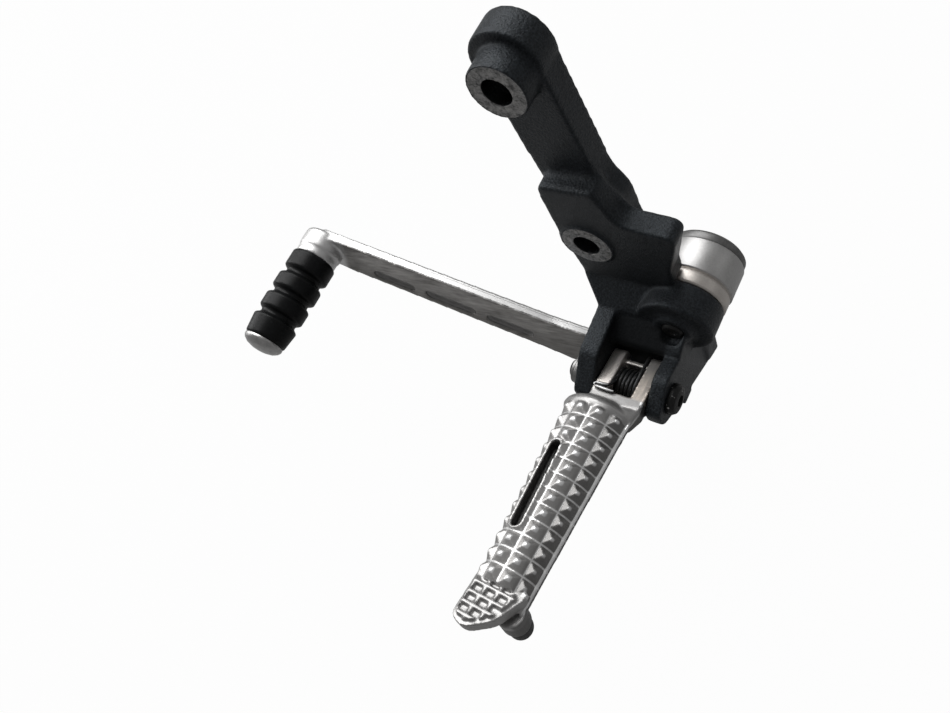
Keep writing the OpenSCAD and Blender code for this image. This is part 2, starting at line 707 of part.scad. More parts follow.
// Domed metal cap on the stud's end
module toe_cap() color("#c3c4c4") {
    y0 = rubber_y - rubber_l;
    turned_y(toe_x, toe_z, [
        [0, y0], [cap_r, y0], [cap_r, y0 - 1.2], [cap_r - 0.7, y0 - 2.3], [cap_r - 2.4, y0 - 3.5],
        [cap_r - 5, y0 - cap_t + 0.3], [0, y0 - cap_t]
    ]);
}

hanger_casting();
clevis_pin();
pin_washer();
pin_clip();
balance_weight();
weight_end_disc();
weight_bolt();
pivot_sleeve();
pivot_washer();
lever_pivot_bolt();
footpeg_casting();
return_spring();
feeler_bolt();
gear_lever();
pivot_bush_outboard();
pivot_bush_inboard();
dust_seal_outboard();
dust_seal_inboard();
toe_stud();
toe_rubber();
toe_cap();
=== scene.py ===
# %% [markdown]
# This lesson dresses a motorcycle footrest hanger for a product picture. The exact solids come
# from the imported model, and Blender adds what casting, blasting, turning and moulding do to a
# surface. Blender's lengths are in metres, X is the rear of the motorcycle and Y is inboard.

# %% Load the frame
import math
import bpy
from mathutils import Matrix, Vector


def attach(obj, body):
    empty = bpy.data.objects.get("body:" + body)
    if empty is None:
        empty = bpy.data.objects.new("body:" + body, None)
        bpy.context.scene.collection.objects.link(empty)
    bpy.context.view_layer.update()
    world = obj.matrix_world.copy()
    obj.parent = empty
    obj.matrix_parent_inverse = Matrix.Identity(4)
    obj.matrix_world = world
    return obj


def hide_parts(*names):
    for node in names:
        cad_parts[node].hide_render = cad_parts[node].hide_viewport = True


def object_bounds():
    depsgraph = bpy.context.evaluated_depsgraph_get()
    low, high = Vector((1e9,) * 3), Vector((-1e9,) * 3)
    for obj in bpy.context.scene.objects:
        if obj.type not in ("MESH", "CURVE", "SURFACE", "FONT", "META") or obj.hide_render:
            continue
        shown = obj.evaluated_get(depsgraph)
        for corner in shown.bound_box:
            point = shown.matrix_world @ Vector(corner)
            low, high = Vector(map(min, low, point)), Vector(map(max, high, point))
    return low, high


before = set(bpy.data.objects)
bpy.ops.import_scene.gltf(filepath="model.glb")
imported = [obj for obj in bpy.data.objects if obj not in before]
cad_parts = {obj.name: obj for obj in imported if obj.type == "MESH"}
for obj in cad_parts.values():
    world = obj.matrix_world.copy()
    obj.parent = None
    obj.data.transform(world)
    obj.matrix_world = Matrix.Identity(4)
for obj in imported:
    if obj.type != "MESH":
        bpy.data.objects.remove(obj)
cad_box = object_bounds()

MM = 0.001

# %% [markdown]
# The camera looks down on the outboard side from the rear. Its place and its three directions
# were solved from the round holes and the straight edges in the picture, so the lens is plain
# and nothing is shifted.

# %% Camera
SENSOR_MM = 36
FOCAL_PIXELS = 740
PICTURE_PIXELS = 950
CAMERA_AT = (0.112387, -0.116367, 0.201740)
CAMERA_RIGHT = (0.807381, 0.455057, -0.375578)
CAMERA_UP = (-0.268364, 0.850106, 0.453100)
CAMERA_BACK = (0.525467, -0.265033, 0.808481)

camera_data = bpy.data.cameras.new("product_camera")
camera_data.sensor_fit = "HORIZONTAL"
camera_data.sensor_width = SENSOR_MM
camera_data.lens = SENSOR_MM * FOCAL_PIXELS / PICTURE_PIXELS
camera_data.clip_start = 0.01
camera_data.clip_end = 20
camera = bpy.data.objects.new("product_camera", camera_data)
bpy.context.scene.collection.objects.link(camera)
rows = zip(CAMERA_RIGHT, CAMERA_UP, CAMERA_BACK, CAMERA_AT)
camera.matrix_world = Matrix((*rows, (0, 0, 0, 1)))
bpy.context.scene.camera = camera
print("camera height above the object's origin:", round(camera.matrix_world.translation.z, 3))

# %% [markdown]
# Shader maths reads best as sums. The Amount class wraps the output of a node, so that an
# expression such as 1 - mask * 0.5 adds the Math nodes by itself. The Finish class holds one
# material and makes any other node from its type, its settings and its inputs.

# %% Shader maths
class Amount:
    """A number that a node gives, which can be added, multiplied and so on."""

    def __init__(self, finish, socket):
        self.finish = finish
        self.socket = socket

    def maths(self, operation, first, second=None, clamp=False):
        given = [value for value in (first, second) if value is not None]
        node = self.finish.node("ShaderNodeMath", {"operation": operation, "use_clamp": clamp},
                                dict(enumerate(given)))
        return Amount(self.finish, node.outputs[0])

    def __add__(self, other):
        return self.maths("ADD", self, other)

    def __radd__(self, other):
        return self.maths("ADD", other, self)

    def __sub__(self, other):
        return self.maths("SUBTRACT", self, other)

    def __rsub__(self, other):
        return self.maths("SUBTRACT", other, self)

    def __mul__(self, other):
        return self.maths("MULTIPLY", self, other)

    def __rmul__(self, other):
        return self.maths("MULTIPLY", other, self)

    def __truediv__(self, other):
        return self.maths("DIVIDE", self, other)

    def __neg__(self):
        return self.maths("MULTIPLY", self, -1)

    def root(self):
        return self.maths("SQRT", self)

    def size(self):
        return self.maths("ABSOLUTE", self)

    def from_whole(self):
        """Distance to the nearest whole number."""
        return (self.maths("FRACT", self + 0.5) - 0.5).size()

    def wave(self):
        """A sine wave moved to run from 0 to 1."""
        return self.maths("SINE", self) * 0.5 + 0.5

    def arc_sine(self):
        return self.maths("ARCSINE", self)

    def least(self, other):
        return self.maths("MINIMUM", self, other)

    def most(self, other):
        return self.maths("MAXIMUM", self, other)

    def clip(self):
        return self.maths("ADD", self, 0, clamp=True)

    def ramp(self, low, high):
        """0 at low and 1 at high, smooth between them; high may be below low."""
        share = ((self - low) * (1 / (high - low))).clip()
        return share * share * (3 - 2 * share)

    def edge(self, low, high):
        """The same ramp for a length, with low and high in millimetres."""
        return self.ramp(low * MM, high * MM)


class Finish:
    """One procedural material on the Object coordinates of its piece."""

    def __init__(self, name):
        self.material = bpy.data.materials.new(name)
        self.material.use_nodes = True
        self.tree = self.material.node_tree
        self.shader = self.tree.nodes["Principled BSDF"]
        self.place = self.node("ShaderNodeTexCoord", {}, {}).outputs["Object"]
        axes = self.node("ShaderNodeSeparateXYZ", {}, {0: self.place})
        self.x = Amount(self, axes.outputs[0])
        self.y = Amount(self, axes.outputs[1])
        self.z = Amount(self, axes.outputs[2])

    def node(self, kind, settings, values):
        made = self.tree.nodes.new(kind)
        for key, value in settings.items():
            setattr(made, key, value)
        for key, value in values.items():
            self.feed(made.inputs[key], value)
        return made

    def feed(self, socket, value):
        if isinstance(value, Amount):
            self.tree.links.new(value.socket, socket)
        elif isinstance(value, bpy.types.NodeSocket):
            self.tree.links.new(value, socket)
        else:
            socket.default_value = value

    def set(self, **values):
        for key, value in values.items():
            self.feed(self.shader.inputs[key.replace("_", " ")], value)

    def noise(self, scale, detail=3.0, roughness=0.55, stretch=None):
        where = self.place
        if stretch is not None:
            where = self.node("ShaderNodeMapping", {}, {"Vector": self.place, "Scale": stretch}).outputs[0]
        made = self.node("ShaderNodeTexNoise", {}, {
            "Vector": where, "Scale": scale, "Detail": detail, "Roughness": roughness})
        return Amount(self, made.outputs[0])

    def cells(self, scale):
        made = self.node("ShaderNodeTexVoronoi", {"feature": "F1"}, {"Vector": self.place, "Scale": scale})
        return Amount(self, made.outputs["Distance"])

    def about(self, x, z):
        """Distance from an axis along Y through x and z."""
        return length_of(self.x - x, self.z - z)

    def blend(self, share, first, second):
        """A colour between first and second by share."""
        made = self.node("ShaderNodeMix", {"data_type": "RGBA"}, {0: share, 6: first, 7: second})
        return made.outputs[2]

    def relief(self, height, depth, strength, onto=None):
        values = {"Height": height, "Distance": depth, "Strength": strength}
        if onto is not None:
            values["Normal"] = onto
        return self.node("ShaderNodeBump", {}, values).outputs[0]


def length_of(across, up):
    """Length of the line with these two sides."""
    return (across * across + up * up).root()


def grey(level, warm=0.0):
    """A neutral colour; warm above 0 leans to yellow and below 0 to blue."""
    return (level * (1 + warm), level, level * (1 - warm), 1)


print("shader classes ready")

# %% [markdown]
# The hanger is cast, painted satin black, and then machined where it bolts to the frame. So
# its material has three looks: paint with a coarse grain and paler flecks, bare dull rings that
# still show the facing tool, and bores painted near black as painted shade. Each is chosen by its
# distance from a hole. The space between the two ears is painted nearly black as painted shade.

# %% Hanger finish
UPPER_HOLE = (-7.6 * MM, 69.6 * MM)
LOWER_HOLE = (0.0, 0.0)
SEAT_R = 9.5 * MM
HOLE_R = 4.75 * MM
FACING = 0.18 * MM
TOOL_MARKS_PER_METRE = 14000


def painted_casting():
    finish = Finish("black_casting")
    grain = finish.noise(1150, 4, 0.75)
    sand = finish.cells(1500)
    cloud = finish.noise(60, 3, 0.5)
    nearest = finish.about(*UPPER_HOLE).least(finish.about(*LOWER_HOLE))
    on_ring = nearest.ramp(SEAT_R - 0.25 * MM, SEAT_R - 0.45 * MM)
    at_face = (finish.y - FACING).size().edge(0.25, 0.1)
    off_bore = nearest.ramp(HOLE_R + 0.02 * MM, HOLE_R + 0.12 * MM)
    bare = on_ring * at_face * off_bore
    tool_marks = (nearest * TOOL_MARKS_PER_METRE + finish.noise(300, 2) * 3).wave()
    stain = finish.noise(450, 4, 0.65)
    smear = finish.noise(1300, 4, 0.7)
    stained = (stain * 0.5 + smear * 0.5 - 0.5) * 3.6 + 0.42
    ring_level = finish.blend(stained.clip(), grey(0.07, 0.03), grey(0.44, 0.03))
    fleck = (grain * 1.6 + sand * 0.8 - 0.95).clip()
    paint = finish.blend(cloud * 0.2 + fleck, grey(0.002, -0.10), grey(0.034, -0.14))
    # painted shade: the bores and a thin rim round them are painted near black
    bore_shade = nearest.ramp(HOLE_R + 0.25 * MM, HOLE_R + 0.1 * MM)
    # painted shade: the gap between the two ears is painted near black and made rougher
    between_ears = finish.x.edge(6.8, 8.2) * finish.x.edge(29.4, 28)
    ear_gap_shade = between_ears * finish.z.edge(-28.6, -31) * finish.y.edge(-5.5, -7.5)
    painted = finish.blend(bore_shade.most(ear_gap_shade), paint, grey(0.0012))
    paint_rough = (0.27 + 0.22 * grain) * (1 - bare)
    bare_rough = (0.42 + 0.15 * stain) * bare
    cast_relief = finish.relief((grain * 1.2 + sand * 0.5) * (1 - bare), 0.3 * MM, 0.7)
    finish.set(
        Base_Color=finish.blend(bare, painted, ring_level),
        Metallic=bare * 0.75,
        Roughness=(paint_rough + bare_rough + 0.4 * ear_gap_shade).clip(),
        Specular_IOR_Level=0.27,
        Specular_Tint=(0.84, 0.92, 1.0, 1),
        Normal=finish.relief(tool_marks * bare, 0.02 * MM, 0.7, cast_relief),
    )
    return finish.material


CAST_BLACK = painted_casting()
print("material:", CAST_BLACK.name)

# %% [markdown]
# The footpeg is a blasted alloy casting: a pale skin with a sandy grain. Boots polish the tips
# of the pyramids and the lines between them, and the clevis polishes the two legs of its tongue,
# where the metal turns a little warm. The left leg also gets a painted highlight, and the tongue
# deep inside the clevis gets painted shade. Each place is found by three lengths from the pin:
# across along it, out along the footpeg, and high above it.

# %% Footpeg measures
PIN = (17.6 * MM, -27.1 * MM, -45.1 * MM)
PEG_TILT = math.radians(10)
TREAD_X = -4.9
TREAD_SHIFT = 1.7
TREAD_FROM = 16
TREAD_LENGTH = 72
TREAD_CREST = 8.4
TREAD_ROWS = 12
TREAD_COLUMNS = 4
SLOT_X = -9.9
SLOT_SLANT = 0.0594
SLOT_FROM = 36.5
SLOT_TO = 66.5
SLOT_HALF = 2.75


def peg_lengths(finish):
    """The three lengths from the pin, as shader amounts in metres."""
    out = (-(finish.y - PIN[1])) * math.cos(PEG_TILT) + (finish.z - PIN[2]) * math.sin(PEG_TILT)
    high = (finish.z - PIN[2]) * math.cos(PEG_TILT) + (finish.y - PIN[1]) * math.sin(PEG_TILT)
    return finish.x - PIN[0], out, high


print("the tread starts", TREAD_FROM, "mm out from the pin")

# %% [markdown]
# The tread is an arc that narrows towards the tip. The height above that arc tells a pyramid's
# tip from its foot, and the angle round it tells the four columns apart; the rear column is
# painted darker as painted shade. The rear rim has its own line, and a thin tube round that line
# gets a painted highlight. The flank under the rim, the underside and the slot's walls get painted shade.

# %% Footpeg finish
def blasted_footpeg():
    finish = Finish("blasted_alloy")
    across, out, high = peg_lengths(finish)
    grain = finish.noise(2400, 4, 0.65)
    pits = finish.cells(1500).ramp(0.12, 0.32)
    cloud = finish.noise(110, 3, 0.5)
    brushed = finish.noise(900, 3, 0.6, (1.0, 0.10, 0.10))
    tongue = out.edge(9.4, 8.0)

    share = (out - TREAD_FROM * MM) * (1 / (TREAD_LENGTH * MM))
    radius = 14.28 * MM - share * (4.15 * MM)
    aside = across - TREAD_X * MM - share * (TREAD_SHIFT * MM)
    lift = length_of(aside, high - TREAD_CREST * MM + radius) - radius
    on_tread = out.edge(17.6, 18.2) * out.edge(88, 87) * lift.edge(-0.7, -0.3)
    half_span = 1.052 + share * 0.228
    column = ((aside / radius).arc_sine() / half_span + 1) * (TREAD_COLUMNS / 2)
    row = share * TREAD_ROWS
    net = row.from_whole().ramp(0.075, 0.03).most(column.from_whole().ramp(0.05, 0.02)) * on_tread
    tip = lift.edge(1.35, 1.75) * on_tread
    # painted shade: the rear column of pyramids is darkened
    rear_column_shade = column.ramp(2.7, 3.1) * on_tread

    # painted highlight: a thin tube round the rear rim's line is painted pale
    rim_x = 10.1 * MM - out.edge(9.5, 19) * (2.4 * MM) - (out - 18 * MM).most(0) * 0.0143
    rim_high = 5.9 * MM - out.edge(8.5, 18) * (4.2 * MM)
    rim_gap = length_of(across - rim_x, high - rim_high)
    rim = rim_gap.edge(1.0, 0.7) * out.edge(1, 3) * out.edge(93, 90)
    flank = (across - rim_x).edge(-1.6, -0.6) * (high - rim_high).edge(-0.6, -1.3)
    shade_side = (flank * 0.85).most(high.edge(-0.6, -2.4)) * out.edge(6, 12)

    mottle = cloud * 0.4 + grain * 0.6
    rough_skin = finish.blend(mottle, grey(0.20, 0.015), grey(0.52, 0.012))
    facet = finish.blend(mottle, grey(0.24, 0.02), grey(0.52, 0.015))
    # a darker grey used as painted shade on the rear column, the flank under the rim and the underside
    dull_and_shaded = finish.blend(grain, grey(0.07, 0.03), grey(0.17, 0.02))
    skin = finish.blend(on_tread, rough_skin, facet)
    skin = finish.blend(rear_column_shade * 0.75, skin, dull_and_shaded)
    skin = finish.blend(shade_side, skin, dull_and_shaded)
    # wear on the pyramid tips and the lines between them, and a painted highlight along the rear rim
    wear_and_highlight = (net * (0.35 + 0.5 * grain)).most(tip * 0.8).most(rim)
    skin = finish.blend(wear_and_highlight, skin, grey(0.82))

    # the tongue's legs: a painted highlight on the left leg, and painted shade deep in the clevis
    warm = finish.blend(brushed, grey(0.34, 0.05), grey(0.66, 0.13))
    clevis_shade = finish.blend(brushed, grey(0.20, 0.02), grey(0.40, 0.05))
    left_leg_highlight = across.edge(-2, -4)
    leg = finish.blend(left_leg_highlight * 0.7, finish.blend(out.edge(2, -7), warm, clevis_shade), grey(0.92, 0.05))
    skin_and_tongue = finish.blend(tongue, skin, leg)

    # painted shade: the walls inside the slot are darkened
    from_slot = (across - SLOT_X * MM - (out - SLOT_FROM * MM) * SLOT_SLANT).size()
    in_slot = from_slot.edge(SLOT_HALF - 0.05, SLOT_HALF - 0.45) * out.edge(SLOT_FROM - 3, SLOT_FROM - 2)
    slot_shade = in_slot * out.edge(SLOT_TO + 3, SLOT_TO + 2) * high.edge(7.2, 5.6)
    rough_relief = finish.relief(grain * 0.8 + pits * 0.25, 0.05 * MM, 0.5)
    finish.set(
        Base_Color=finish.blend(slot_shade * 0.85, skin_and_tongue, grey(0.045, 0.01)),
        Metallic=0.82,
        Roughness=(0.34 + 0.14 * grain) * (1 - tongue) + (0.26 + 0.2 * brushed) * tongue,
        Normal=finish.relief(brushed * tongue, 0.03 * MM, 0.4, rough_relief),
    )
    return finish.material


BLASTED = blasted_footpeg()
print("material:", BLASTED.name)

# %% [markdown]
# The gear lever is a satin forging. Its narrow top edge is polished and catches the overhead
# light, while its broad outboard face is duller, with long faint marks from the linishing belt.
# The face is darker towards its lower edge and near the hub, partly its own tone and partly
# painted shade, and its three pockets are painted dark as painted shade. The face is found from
# the blade's own plane, and three thin dark lines run along the top edge.

# %% Lever finish
PIVOT = (12 * MM, -9.5 * MM, -74.4 * MM)
TOE = (-125.3 * MM, -20 * MM, -14.5 * MM)
LEVER_TURN = math.atan2(TOE[2] - PIVOT[2], PIVOT[0] - TOE[0])
LEVER_SWEEP = (PIVOT[1] - TOE[1]) / math.hypot(TOE[0] - PIVOT[0], TOE[2] - PIVOT[2])
BLADE_LEAN = math.radians(6)


def satin_lever():
    finish = Finish("satin_alloy")
    along = -(finish.x - PIVOT[0]) * math.cos(LEVER_TURN) + (finish.z - PIVOT[2]) * math.sin(LEVER_TURN)
    up = (finish.z - PIVOT[2]) * math.cos(LEVER_TURN) + (finish.x - PIVOT[0]) * math.sin(LEVER_TURN)
    through = (finish.y - PIVOT[1]) + along * LEVER_SWEEP - up * math.tan(BLADE_LEAN)
    face = through.edge(0.75, 0.3) * along.edge(11, 15) * along.edge(141, 137)
    belt = finish.noise(700, 4, 0.6, (0.12, 1.0, 1.0))
    grain = finish.noise(2200, 3, 0.6)
    patches = finish.noise(120, 4, 0.6, (0.5, 1.0, 1.0))
    # partly the face's own tone and partly painted shade: darker towards its lower edge and near the hub
    lower = up.edge(6, -9)
    hub_tone_and_shade = along.edge(50, 15)
    streak = (belt * 0.55 + patches * 0.45 - 0.5) * 2.6 + 0.55
    face_level = streak * (1 - 0.50 * lower) * (1 - 0.45 * hub_tone_and_shade)
    bright = finish.blend(grain, grey(0.50, 0.006), grey(0.62, 0.004))
    bright = finish.blend(along.edge(15, 9) * 0.75, bright, grey(0.10, 0.03))
    dull_and_shaded = finish.blend(face_level.clip(), grey(0.12, 0.05), grey(0.50, 0.03))
    # painted shade: the three pockets sunk into the face are painted dark
    in_pocket = (up + 5.6 * MM).size().edge(3.5, 3.0) * through.edge(2.2, 1.9)
    pocket_shade = in_pocket * through.edge(0.3, 0.6) * along.edge(46, 48)
    chips = finish.noise(160, 3, 0.6).ramp(0.35, 0.62)
    corner = (through - 0.80 * MM).size().edge(0.42, 0.05) * (0.25 + 0.6 * chips)
    first_line = (through - 3.0 * MM).size().edge(0.14, 0.05)
    second_line = (through - 3.9 * MM).size().edge(0.14, 0.05)
    on_blade = along.edge(9, 11) * along.edge(140, 136)
    lines = (corner + (first_line + second_line) * 0.7).clip() * on_blade
    top_and_edges = finish.blend(lines, bright, grey(0.05, 0.02))
    near_toe = along.edge(128, 136)
    finish.set(
        Base_Color=finish.blend(pocket_shade * 0.75, finish.blend(face, top_and_edges, dull_and_shaded), grey(0.13, 0.03)),
        Metallic=0.9,
        Roughness=0.30 + 0.10 * grain + 0.12 * face + 0.1 * pocket_shade + 0.08 * near_toe,
        Normal=finish.relief(belt * 0.5 + grain * 0.4, 0.02 * MM, 0.3),
    )
    return finish.material


SATIN = satin_lever()
print("material:", SATIN.name, "lever climbs", round(math.degrees(LEVER_TURN), 1), "degrees")

# %% [markdown]
# The balance weight is turned steel. A lathe leaves fine rings about the axis, so its bump is a
# wave of the distance along the axis, broken up by a little noise. The smaller parts are plated,
# oiled or black oxide steel, and one recipe with a few levels makes most of them.

# %% Steel finishes
WEIGHT_FOOT_Y = 4.5 * MM
LATHE_RINGS_PER_METRE = 26000


def turned_weight():
    finish = Finish("turned_steel")
    rings = (finish.y * LATHE_RINGS_PER_METRE + finish.noise(160, 2) * 4).wave()
    haze = finish.noise(240, 4, 0.6)
    speckle = finish.noise(1700, 4, 0.7)
    mottle = haze * 0.4 + speckle * 0.6
    band = finish.y.ramp(WEIGHT_FOOT_Y + 6.0 * MM, WEIGHT_FOOT_Y + 5.2 * MM)
    cool = finish.blend(mottle, grey(0.26, 0.012), grey(0.56, 0.010))
    warm = finish.blend(mottle, grey(0.32, 0.05), grey(0.66, 0.07))
    finish.set(
        Base_Color=finish.blend(band, cool, warm),
        Metallic=0.95,
        Roughness=0.36 + 0.10 * haze + 0.06 * rings,
        Normal=finish.relief(rings * 0.5 + speckle * 0.6, 0.02 * MM, 0.4),
    )
    return finish.material


def turned_part(name, dark, light, rough, metallic=0.9):
    """Small turned or plated parts: fine grain, light stains and a satin shine."""
    finish = Finish(name)
    grain = finish.noise(3200, 3, 0.6)
    stain = finish.noise(420, 4, 0.6)
    scratches = finish.noise(1500, 3, 0.7, (1.0, 0.2, 0.6))
    finish.set(
        Base_Color=finish.blend(stain * 0.6 + scratches * 0.4, grey(dark, 0.01), grey(light, 0.01)),
        Metallic=metallic,
        Roughness=rough + 0.16 * stain,
        Normal=finish.relief(grain * 0.4 + scratches * 0.6, 0.02 * MM, 0.4),
    )
    return finish.material


def black_hardware():
    """Black oxide steel, rubbed bright in a few small spots."""
    finish = Finish("black_oxide")
    grain = finish.noise(2600, 3, 0.6)
    spots = finish.noise(520, 3, 0.55).ramp(0.66, 0.70)
    finish.set(
        Base_Color=finish.blend(spots, finish.blend(grain, grey(0.003), grey(0.016)), grey(0.45, 0.02)),
        Metallic=0.2 + 0.7 * spots,
        Roughness=0.40 + 0.12 * grain - 0.12 * spots,
        Specular_IOR_Level=0.3,
        Normal=finish.relief(grain, 0.03 * MM, 0.4),
    )
    return finish.material


WEIGHT_STEEL = turned_weight()
BLACK_OXIDE = black_hardware()
PLATED = turned_part("plated_steel", 0.10, 0.34, 0.28)
CAP_SILVER = turned_part("scratched_cap", 0.16, 0.62, 0.26)
DARK_STEEL = turned_part("dark_steel", 0.02, 0.06, 0.30, 0.85)
DISC_STEEL = turned_part("oiled_disc", 0.05, 0.24, 0.36, 0.85)
FEELER_STEEL = turned_part("feeler_steel", 0.03, 0.07, 0.42, 0.6)
BRONZE = turned_part("bush_bronze", 0.20, 0.34, 0.38)
print("steel finishes ready")

# %% [markdown]
# The return spring is black wire. Along the top of its end, where it lies over the tongue, it has
# a painted highlight, and that part is found by its height and its distance out from the pin. The
# toe rubber is nearly black, with a low shine and some dust.

# %% Spring and rubber finishes
def black_wire():
    finish = Finish("black_spring")
    across, out, high = peg_lengths(finish)
    # painted highlight along the top of the wire's end
    wire_top_highlight = high.edge(7.55, 7.95) * out.edge(6.4, 6.9)
    grain = finish.noise(2600, 3, 0.6)
    flakes = finish.noise(900, 3, 0.6).ramp(0.60, 0.68)
    bright = (wire_top_highlight * (0.45 + 0.55 * grain) + flakes * 0.35).clip()
    finish.set(
        Base_Color=finish.blend(bright, grey(0.012, -0.05), grey(0.62)),
        Metallic=0.3 + 0.65 * bright,
        Roughness=0.34 - 0.08 * bright + 0.12 * grain,
        Normal=finish.relief(grain, 0.02 * MM, 0.4),
    )
    return finish.material


def moulded_rubber():
    """Satin black rubber: a soft mottled skin with a fine moulded grain and dusty patches."""
    finish = Finish("black_rubber")
    skin = finish.noise(1900, 4, 0.6)
    mottle = finish.noise(260, 3, 0.55)
    dust = finish.noise(700, 4, 0.65).ramp(0.52, 0.75)
    finish.set(
        Base_Color=finish.blend(mottle * 0.5 + dust * 0.5, grey(0.002, -0.06), grey(0.012, -0.08)),
        Roughness=0.28 + 0.18 * mottle + 0.12 * dust,
        Specular_IOR_Level=0.14,
        Normal=finish.relief(skin * 0.6 + mottle * 0.7, 0.07 * MM, 0.5),
    )
    return finish.material


SPRING_BLACK = black_wire()
RUBBER = moulded_rubber()
print("rubber and spring finishes ready")

# %% [markdown]
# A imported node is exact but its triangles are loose, so each piece starts as a merged copy of
# one. From there two routes are used. A casting is remeshed in small voxels and smoothed, which
# rounds every edge as a sand mould does. A turned part keeps its edges and gets a small bevel.

# %% Mesh helpers
MERGE_WITHIN = 0.002 * MM


def only(piece):
    """Selects one piece and makes it active."""
    bpy.ops.object.select_all(action="DESELECT")
    piece.select_set(True)
    bpy.context.view_layer.objects.active = piece


def use(piece, kind, **settings):
    """Adds a modifier, sets it and applies it."""
    only(piece)
    modifier = piece.modifiers.new(kind.lower(), kind)
    for key, value in settings.items():
        setattr(modifier, key, value)
    bpy.ops.object.modifier_apply(modifier=modifier.name)


def edit_all(piece, operation, **settings):
    """Runs one edit-mode operation on the whole mesh of a piece."""
    only(piece)
    bpy.ops.object.mode_set(mode="EDIT")
    bpy.ops.mesh.select_all(action="SELECT")
    operation(**settings)
    bpy.ops.object.mode_set(mode="OBJECT")


def in_scene(name, data):
    """A new object at the origin that holds some data."""
    made = bpy.data.objects.new(name, data)
    bpy.context.scene.collection.objects.link(made)
    return made


def merged_copy(node, name):
    """A joined-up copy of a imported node, in its own place."""
    piece = in_scene(name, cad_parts[node].data.copy())
    only(piece)
    piece.data.materials.clear()
    bpy.ops.mesh.customdata_custom_splitnormals_clear()
    edit_all(piece, bpy.ops.mesh.remove_doubles, threshold=MERGE_WITHIN)
    return piece


def finish_piece(piece, material, slot, body, *nodes):
    """Gives a piece its material and its body, and hides the imported nodes that it stands for; slot is not
    used.
    """
    piece.data.materials.clear()
    piece.data.materials.append(material)
    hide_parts(*nodes)
    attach(piece, body)


print("mesh helpers ready")

# %% [markdown]
# Machining comes after casting, so it is cut after the edges are rounded. A cutter is a plain
# cylinder, and a Boolean takes it away. That leaves the same crisp bore and flat seat that a
# drill and a facing tool leave. Forms that are added before the remesh melt into the skin.

# %% Casting and machining helpers
CUTTER_SIDES = 96


def remesh(piece, voxel):
    use(piece, "REMESH", mode="VOXEL", voxel_size=voxel)


def smooth(piece, passes, **settings):
    use(piece, "SMOOTH", factor=0.5, iterations=passes, **settings)


def cast_skin(node, name, voxel, passes):
    """A casting with every edge rounded over by about its voxel size."""
    piece = merged_copy(node, name)
    remesh(piece, voxel)
    smooth(piece, passes)
    return piece


def cylinder_tool(radius, start, end):
    """A cylinder between two points, to cut with."""
    a = Vector(start)
    b = Vector(end)
    turn = (b - a).to_track_quat("Z", "Y").to_euler()
    bpy.ops.object.select_all(action="DESELECT")
    bpy.ops.mesh.primitive_cylinder_add(
        vertices=CUTTER_SIDES, radius=radius, depth=(b - a).length, location=(a + b) / 2, rotation=turn)
    return bpy.context.object


def add_to(piece, extra):
    """Joins another closed shape to a piece; the next remesh makes them one skin."""
    only(piece)
    extra.select_set(True)
    bpy.ops.object.join()


def block(points, name):
    """The convex solid round a few points in millimetres."""
    mesh = bpy.data.meshes.new(name)
    mesh.from_pydata([Vector(p) * MM for p in points], [], [])
    made = in_scene(name, mesh)
    edit_all(made, bpy.ops.mesh.convex_hull)
    return made


def prism(outline, y_from, y_to, name):
    """The solid between two copies of an outline of x and z, in millimetres."""
    count = len(outline)
    corners = [(x * MM, y * MM, z * MM) for y in (y_from, y_to) for x, z in outline]
    walls = [(i, (i + 1) % count, count + (i + 1) % count, count + i) for i in range(count)]
    ends = [tuple(reversed(range(count))), tuple(range(count, 2 * count))]
    mesh = bpy.data.meshes.new(name)
    mesh.from_pydata(corners, [], [*ends, *walls])
    made = in_scene(name, mesh)
    edit_all(made, bpy.ops.mesh.normals_make_consistent, inside=False)
    return made


def bead(points, radius, name, closed=False):
    """A round bead along a smooth path of points in metres."""
    data = bpy.data.curves.new(name, "CURVE")
    data.dimensions = "3D"
    data.bevel_depth = radius
    data.bevel_resolution = 3
    data.resolution_u = 6
    data.use_fill_caps = True
    line = data.splines.new("NURBS")
    line.points.add(len(points) - 1)
    for spot, point in zip(line.points, points):
        spot.co = (*point, 1)
    line.order_u = 3
    line.use_endpoint_u = not closed
    line.use_cyclic_u = closed
    only(in_scene(name, data))
    bpy.ops.object.convert(target="MESH")
    return bpy.context.object


def soften(piece, where, passes):
    """Smooths only the vertices that the test where accepts."""
    group = piece.vertex_groups.new(name="soft")
    chosen = [v.index for v in piece.data.vertices if where(v.co)]
    group.add(chosen, 1.0, "REPLACE")
    smooth(piece, passes, vertex_group="soft")
    piece.vertex_groups.clear()
    print("softened", len(chosen), "vertices")


def thin_out(piece, most):
    """Brings a skin under a number of triangles."""
    triangles = 2 * len(piece.data.polygons)
    if triangles > most:
        use(piece, "DECIMATE", ratio=most / triangles)


def cut(piece, tool):
    """Takes a tool's shape away from a piece and throws the tool away."""
    use(piece, "BOOLEAN", operation="DIFFERENCE", solver="MANIFOLD", object=tool)
    bpy.data.objects.remove(tool)


print("casting helpers ready")

# %% [markdown]
# The hanger casting is the largest piece. A rib is added behind the right ear, and the arm's rear
# edge is cut back to the sweep where it runs into the lug. Then it is remeshed and smoothed, with
# more passes at three roots where the mould was rounder. Its two seats are faced off, and its
# holes are cut again at their true size.

